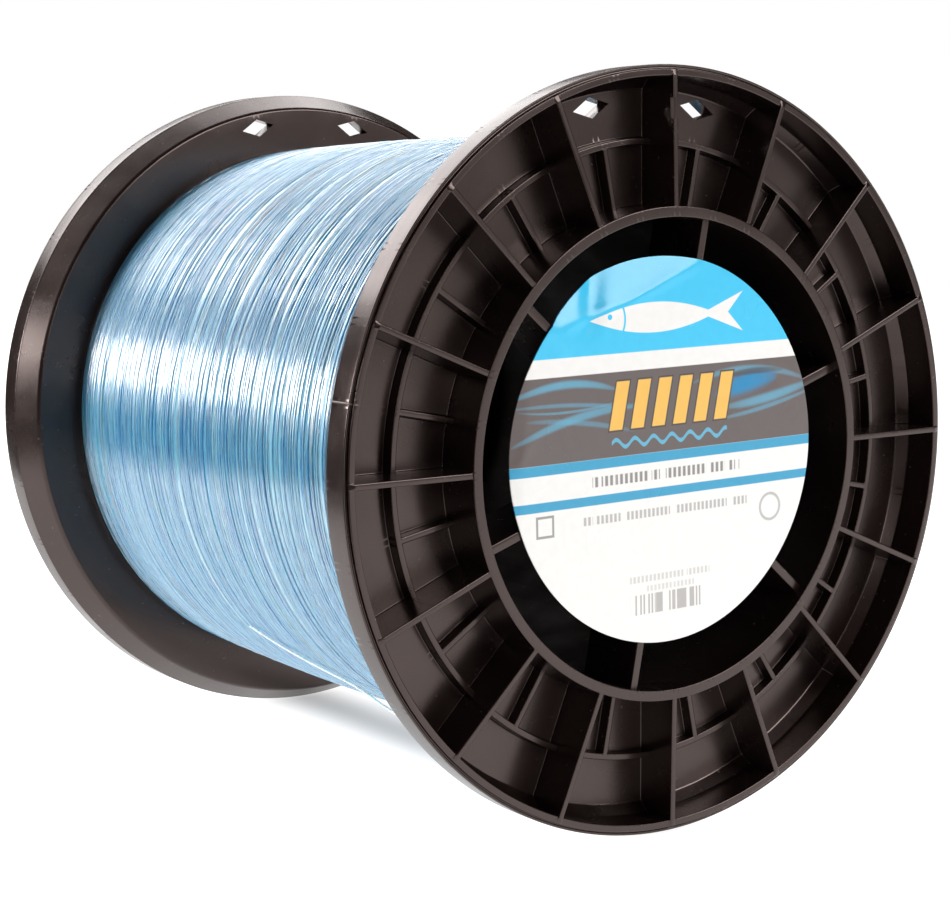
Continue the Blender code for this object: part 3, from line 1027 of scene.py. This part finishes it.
def print_bars(g, u, v, colour):
    """Yellow slanted bars in the dark band, with a thin wave below them."""
    left, right = BAR_REACH
    first, last = BAR_SHARE
    low, high = BAR_ROWS
    slant = g.math("MULTIPLY_ADD", v, BAR_SLANT, u)
    cell = g.math("FRACT", g.math("DIVIDE", g.math("SUBTRACT", slant, left), BAR_PITCH))
    bars = g.band(cell, first, last, 0.02)
    bars = g.math("MULTIPLY", bars, g.band(slant, left, right, 0.1))
    edge = g.band(cell, first - BAR_EDGE_SHARE, last + BAR_EDGE_SHARE, 0.02)
    edge = g.math("MULTIPLY", edge, g.band(slant, left - BAR_EDGE, right + BAR_EDGE, 0.1))
    edge = g.math("MULTIPLY", edge, g.band(v, low - BAR_EDGE, high + BAR_EDGE))
    colour = g.mix(edge, colour, INK_GREY)
    colour = g.mix(g.math("MULTIPLY", bars, g.band(v, low, high)), colour, YELLOW)
    swing = g.math("SINE", g.math("MULTIPLY", u, WAVE_RATE))
    wave = g.math("MULTIPLY_ADD", swing, WAVE_SWING, WAVE_MIDDLE)
    stroke = g.ramp(g.math("ABSOLUTE", g.math("SUBTRACT", v, wave)), *WAVE_WIDTHS)
    return g.mix(g.math("MULTIPLY", stroke, g.band(u, *WAVE_REACH)), colour, PALE_BLUE)


def print_marks(g, u, v, colour):
    """Rows of plain marks where a label carries small print, and a block of thin bars."""
    for low, high, left, right, pitch, strength in MARK_ROWS:
        marks = g.band(g.math("FRACT", g.math("DIVIDE", u, pitch)), *MARK_SHARE)
        along = g.node("ShaderNodeCombineXYZ", {0: u, 1: low}).outputs[0]
        words = g.ramp(g.noise(along, WORD_SCALE, 0.0), *WORD_CUT)
        mask = g.math("MULTIPLY", marks, words)
        mask = g.math("MULTIPLY", mask, g.band(v, low, high, 0.15))
        mask = g.math("MULTIPLY", mask, g.band(u, left, right))
        colour = g.mix(g.math("MULTIPLY", mask, strength), colour, SMALL_INK)
    stripe = g.math("FLOOR", g.math("DIVIDE", u, THIN_BAR))
    chance = g.node("ShaderNodeTexWhiteNoise", {"W": stripe}, noise_dimensions="1D").outputs["Value"]
    block = g.math("MULTIPLY", g.band(u, *THIN_BAR_REACH), g.band(v, *THIN_BAR_ROWS))
    block = g.math("MULTIPLY", block, g.ramp(chance, *THIN_BAR_CUT))
    return g.mix(g.math("MULTIPLY", block, THIN_BAR_STRENGTH), colour, SMALL_INK)


def print_signs(g, u, v, colour):
    """A square and a ring drawn in outline."""
    across = g.math("ABSOLUTE", g.math("SUBTRACT", u, SQUARE_MIDDLE[0]))
    up = g.math("ABSOLUTE", g.math("SUBTRACT", v, SQUARE_MIDDLE[1]))
    square = g.band(g.math("MAXIMUM", across, up), *SQUARE_SIDES, 0.1)
    ring = g.band(g.distance(u, v, *RING_MIDDLE), *RING_RADII, 0.1)
    colour = g.mix(g.math("MULTIPLY", square, SQUARE_STRENGTH), colour, SMALL_INK)
    return g.mix(g.math("MULTIPLY", ring, RING_STRENGTH), colour, SMALL_INK)


def label_material():
    """Printed paper, lightly glossy, with a faint mottle and fibre."""
    g = Graph("label_paper")
    place = g.object_place()
    x, _, z = g.parts(place)
    u = g.math("DIVIDE", x, MM)
    v = g.math("DIVIDE", z, MM)
    colour = print_bands(g, v, PAPER_WHITE)
    dark = g.band(v, 0.0, 20.0)
    colour = g.mix(dark, colour, print_ribbons(g, u, v, colour))
    colour = print_fish(g, u, v, colour)
    colour = print_bars(g, u, v, colour)
    colour = print_marks(g, u, v, colour)
    colour = print_signs(g, u, v, colour)
    mottle = g.ramp(g.noise(place, 420.0, 1.0), 0.3, 0.7, 0.97, 1.0)
    return g.set(
        Base_Color=g.mix(1.0, colour, mottle, "MULTIPLY"),
        Roughness=g.ramp(g.noise(place, 80.0, 1.0), 0.1, 0.9, 0.21, 0.29),
        IOR=1.52,
        Normal=g.bump(g.noise(place, 1600.0, 1.0), distance=0.00001, strength=0.2),
    )


# ---------------------------------------------------------------- stage, lights, camera

def floor():
    """Pale floor that ends a little way off on the left and runs on behind and to the right.

    It glows, so that it shows white, and less so right under the spool, which paints a shadow there.
    """
    corners = []
    for degrees in np.linspace(*FLOOR_ARC, FLOOR_ARC_POINTS):
        bearing = math.radians(degrees)
        x = FLOOR_ARC_MIDDLE[0] + FLOOR_ARC_RADIUS * math.cos(bearing)
        y = FLOOR_ARC_MIDDLE[1] + FLOOR_ARC_RADIUS * math.sin(bearing)
        corners.append((x, y, 0.0))
    corners += [(x, y, 0.0) for x, y in FLOOR_CORNERS]
    mesh = bpy.data.meshes.new("floor")
    mesh.from_pydata(corners, [], [range(len(corners))])
    piece = bpy.data.objects.new("floor", mesh)
    bpy.context.scene.collection.objects.link(piece)
    g = Graph("floor_white")
    place = g.object_place()
    tone = g.mix(g.noise(place, 6.0), grey(0.18), grey(0.22))
    x, y, _ = g.parts(place)
    # The glow is turned down near the spool: a painted shadow under it
    past_end = g.math("SUBTRACT", g.math("ABSOLUTE", y), PAINTED_SHADOW_HALF_LENGTH)
    past_end = g.math("MAXIMUM", past_end, 0.0)
    away = g.math("MULTIPLY_ADD", x, x, g.math("MULTIPLY", past_end, past_end))
    away = g.math("SQRT", away)
    piece.data.materials.append(g.set(
        Base_Color=tone,
        Roughness=0.6,
        Emission_Color=grey(1.0),
        Emission_Strength=g.ramp(away, 0.0, PAINTED_SHADOW_REACH, FLOOR_GLOW_PAINTED_SHADOW, FLOOR_GLOW),
    ))


def softbox(name, location, target, size, radiance):
    """Area light that faces a point and isn't seen by the camera."""
    light = bpy.data.lights.new(name, "AREA")
    light.shape = "RECTANGLE"
    light.size, light.size_y = size
    light.energy = radiance * math.pi * size[0] * size[1]
    lamp = bpy.data.objects.new(name, light)
    bpy.context.scene.collection.objects.link(lamp)
    lamp.location = location
    aim = Vector(target) - Vector(location)
    lamp.rotation_euler = aim.to_track_quat("-Z", "Y").to_euler()
    lamp.visible_camera = False


def from_bearing(degrees, rise):
    """Direction at a bearing and a rise above the ground."""
    bearing = math.radians(degrees)
    return Vector((math.cos(bearing), math.sin(bearing), math.tan(rise)))


def lights():
    """Softboxes: overhead behind the spool, in front, a fill at the right, and panels at the left.

    The room is dim and warm for reflections and shade, and white for the camera.
    """
    centre = Vector((0.0, 0.0, AXIS_HEIGHT * MM))
    below = OVERHEAD_PLACE - Vector((0.0, 0.0, 1.0))
    softbox("overhead", OVERHEAD_PLACE, below, OVERHEAD_SIZE, OVERHEAD_RADIANCE)
    softbox("front", FRONT_PLACE, centre, FRONT_SIZE, FRONT_RADIANCE)
    softbox("fill", FILL_PLACE, centre, FILL_SIZE, FILL_RADIANCE)
    for i, (degrees, radiance) in enumerate(STRIP_PANELS):
        out = from_bearing(degrees, STRIP_RISE)
        softbox("strip_" + str(i + 1), centre + out * STRIP_REACH, centre, STRIP_SIZE, radiance)
    out = from_bearing(WALL_BEARING, WALL_RISE)
    softbox("wall", centre + out * STRIP_REACH, centre, WALL_SIZE, WALL_RADIANCE)
    world = bpy.data.worlds.new("studio")
    bpy.context.scene.world = world
    world.use_nodes = True
    tree = world.node_tree
    background = tree.nodes["Background"]
    background.inputs["Color"].default_value = ROOM_COLOUR
    seen = tree.nodes.new("ShaderNodeBackground")
    seen.inputs["Color"].default_value = grey(1.0)
    path = tree.nodes.new("ShaderNodeLightPath")
    mix = tree.nodes.new("ShaderNodeMixShader")
    tree.links.new(path.outputs["Is Camera Ray"], mix.inputs[0])
    tree.links.new(background.outputs[0], mix.inputs[1])
    tree.links.new(seen.outputs[0], mix.inputs[2])
    tree.links.new(mix.outputs[0], tree.nodes["World Output"].inputs["Surface"])


def camera():
    """Camera that looks at the labelled front from its left and a little above."""
    forward = CAMERA_FORWARD.normalized()
    right = forward.cross(CAMERA_UP).normalized()
    up = right.cross(forward)
    data = bpy.data.cameras.new("camera")
    data.lens = CAMERA_LENS
    data.sensor_width = CAMERA_SENSOR
    data.clip_start = CAMERA_CLIP
    view = bpy.data.objects.new("camera", data)
    bpy.context.scene.collection.objects.link(view)
    turn = Matrix((right, up, -forward)).transposed()
    view.matrix_world = Matrix.Translation(CAMERA_PLACE) @ turn.to_4x4()
    bpy.context.scene.camera = view


plastic = plastic_material("spool_plastic", 0.20, 0.29, 0.5)
matt_plastic = plastic_material("barrel_plastic", 0.55, 0.75, 0.12)
line = line_material("blue_monofilament", *OUTER_BLUES)
# Paler core material: painted light in the shaded gaps between strands
core_line_painted_light = line_material("core_monofilament_painted_light", *PAINTED_LIGHT_CORE_BLUES)
# Paler loose-end material: painted light, the shine of the free strand
tail_painted_light = line_material("loose_monofilament_painted_light", *PAINTED_LIGHT_TAIL_BLUES)
paper = label_material()
flanges(plastic)
winding(line, core_line_painted_light)
line_tail(tail_painted_light)
label("label_front", "front_label", FRONT_LABEL_SHIFT, False, paper)
label("label_back", "back_label", BACK_LABEL_SHIFT, True, paper)
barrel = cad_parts["barrel"]
barrel.data.materials.clear()
barrel.data.materials.append(matt_plastic)
floor()
lights()
camera()
bpy.context.scene.view_settings.view_transform = "Standard"
